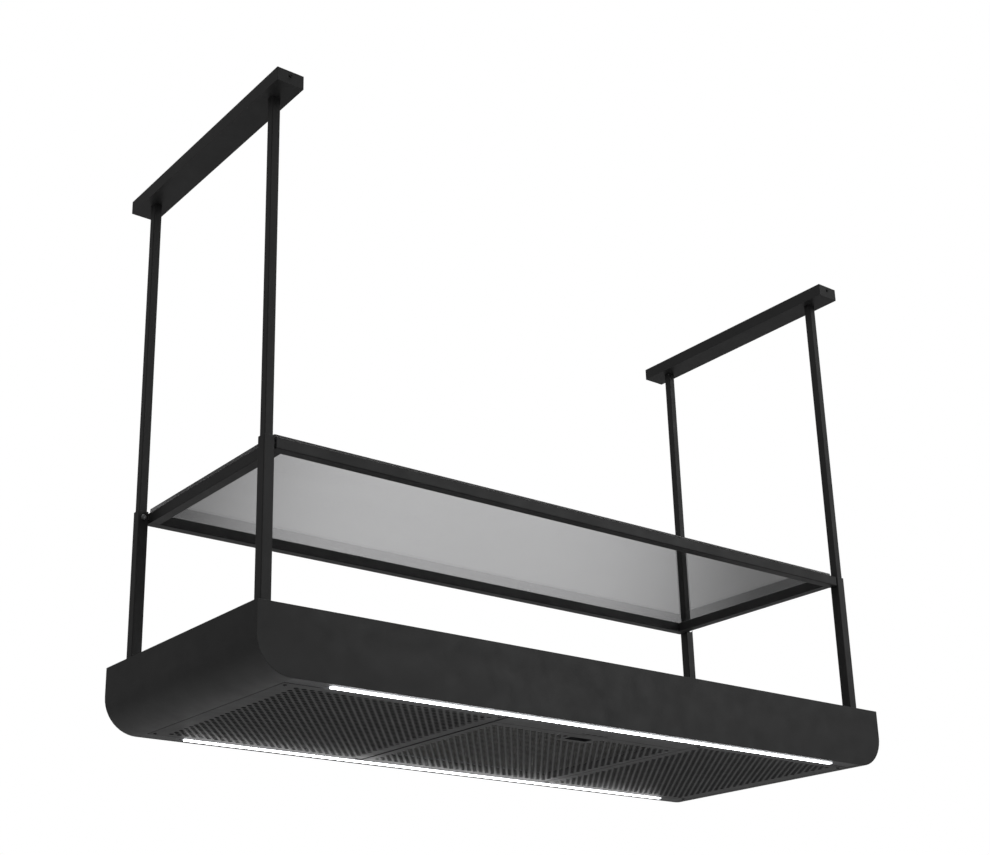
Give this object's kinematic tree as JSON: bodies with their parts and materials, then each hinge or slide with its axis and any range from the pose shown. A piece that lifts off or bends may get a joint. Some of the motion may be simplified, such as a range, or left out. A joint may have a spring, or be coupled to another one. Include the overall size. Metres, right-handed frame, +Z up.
{
  "type": "island range hood",
  "caption": "Ceiling-hung island range hood: long black body with lit edges and perforated panels, hung on telescopic square legs that also carry a smoked glass shelf.",
  "frame": {"origin": "ceiling plane, midway between the four ceiling bolts", "axes": "+X along the length of the hood to its right, -Y towards the front with the control strip, +Z up"},
  "size_m": [1.8, 0.6884, 1.3214],
  "materials": {
    "black_coat": "matt black powder coat with a fine texture",
    "black_panel": "matt black powder coat on perforated sheet",
    "black_anodised": "black anodised extrusion",
    "zinc_steel": "galvanised sheet steel",
    "steel_screw": "bright zinc fasteners",
    "black_screw": "blackened screws",
    "smoked_glass": "grey smoked glass, polished",
    "opal_lens": "opal diffuser, lit",
    "circuit": "white light strip board",
    "rubber": "black rubber",
    "clear_silicone": "translucent silicone",
    "nylon": "black nylon",
    "black_plastic": "moulded black plastic",
    "filter_mesh": "layered aluminium mesh",
    "carbon": "pleated carbon media",
    "magnet": "nickel plated magnets"
  },
  "bodies": {
    "ceiling_mount": {"ceiling_bracket_left": "zinc_steel", "ceiling_bracket_right": "zinc_steel", "ceiling_cover_left": "black_coat", "ceiling_cover_right": "black_coat", "cover_screws": "black_screw", "upper_tube_front_left": "black_coat", "upper_tube_front_right": "black_coat", "upper_tube_back_left": "black_coat", "upper_tube_back_right": "black_coat", "flange_bolts": "steel_screw", "supply_grommet": "rubber"},
    "hood": {"panel_screws": "black_screw", "lower_post_front_left": "black_coat", "lower_post_front_right": "black_coat", "lower_post_back_left": "black_coat", "lower_post_back_right": "black_coat", "guide_bushes": "nylon", "clamp_screws": "steel_screw", "foot_bolts": "steel_screw", "shelf_bolts": "steel_screw", "chassis_beams": "zinc_steel", "shelf_rail_front": "black_coat", "shelf_rail_back": "black_coat", "shelf_rail_left": "black_coat", "shelf_rail_right": "black_coat", "shelf_glass": "smoked_glass", "glass_pads": "clear_silicone", "front_panel": "black_coat", "back_panel": "black_coat", "end_wrap_left": "black_coat", "end_wrap_right": "black_coat", "top_cover": "black_coat", "bulkhead_left": "black_coat", "bulkhead_right": "black_coat", "led_channel_front": "black_anodised", "led_channel_back": "black_anodised", "led_boards": "circuit", "led_diffuser_front": "opal_lens", "led_diffuser_back": "opal_lens", "led_end_caps": "black_plastic", "side_panel_left": "black_panel", "side_panel_right": "black_panel", "carbon_filters": "carbon", "control_strip": "black_panel", "control_unit": "black_plastic", "intake_plate": "zinc_steel", "fan_housing": "zinc_steel", "fan_motor": "black_plastic", "grease_filters": "filter_mesh", "hinge_pins": "steel_screw", "catch_magnets": "magnet"},
    "access_panel": {"access_panel": "black_panel", "access_rim": "black_panel", "finger_cup": "black_plastic"},
    "impeller": {"impeller": "black_plastic", "motor_shaft": "steel_screw"},
    "button_1": {"button_1": "black_plastic"},
    "button_2": {"button_2": "black_plastic"},
    "button_3": {"button_3": "black_plastic"},
    "button_4": {"button_4": "black_plastic"}
  },
  "joints": [
    {"name": "height_slide", "type": "slide", "parent": "ceiling_mount", "child": "hood", "axis": [0, 0, 1], "range_m": [-0.22, 0.05]},
    {"name": "access_panel_hinge", "type": "hinge", "parent": "hood", "child": "access_panel", "pos_m": [0.024, 0.277, -1.315], "axis": [1, 0, 0], "range_deg": [0, 90]},
    {"name": "impeller_spin", "type": "hinge", "parent": "hood", "child": "impeller", "pos_m": [0.024, 0.03, -1.25], "axis": [0, 0, 1], "continuous": true},
    {"name": "button_1_press", "type": "slide", "parent": "hood", "child": "button_1", "axis": [0, 0, 1], "range_m": [0, 0.0012], "stiffness_N_per_m": 400, "springref_m": -0.002},
    {"name": "button_2_press", "type": "slide", "parent": "hood", "child": "button_2", "axis": [0, 0, 1], "range_m": [0, 0.0012], "stiffness_N_per_m": 400, "springref_m": -0.002},
    {"name": "button_3_press", "type": "slide", "parent": "hood", "child": "button_3", "axis": [0, 0, 1], "range_m": [0, 0.0012], "stiffness_N_per_m": 400, "springref_m": -0.002},
    {"name": "button_4_press", "type": "slide", "parent": "hood", "child": "button_4", "axis": [0, 0, 1], "range_m": [0, 0.0012], "stiffness_N_per_m": 400, "springref_m": -0.002}
  ]
}
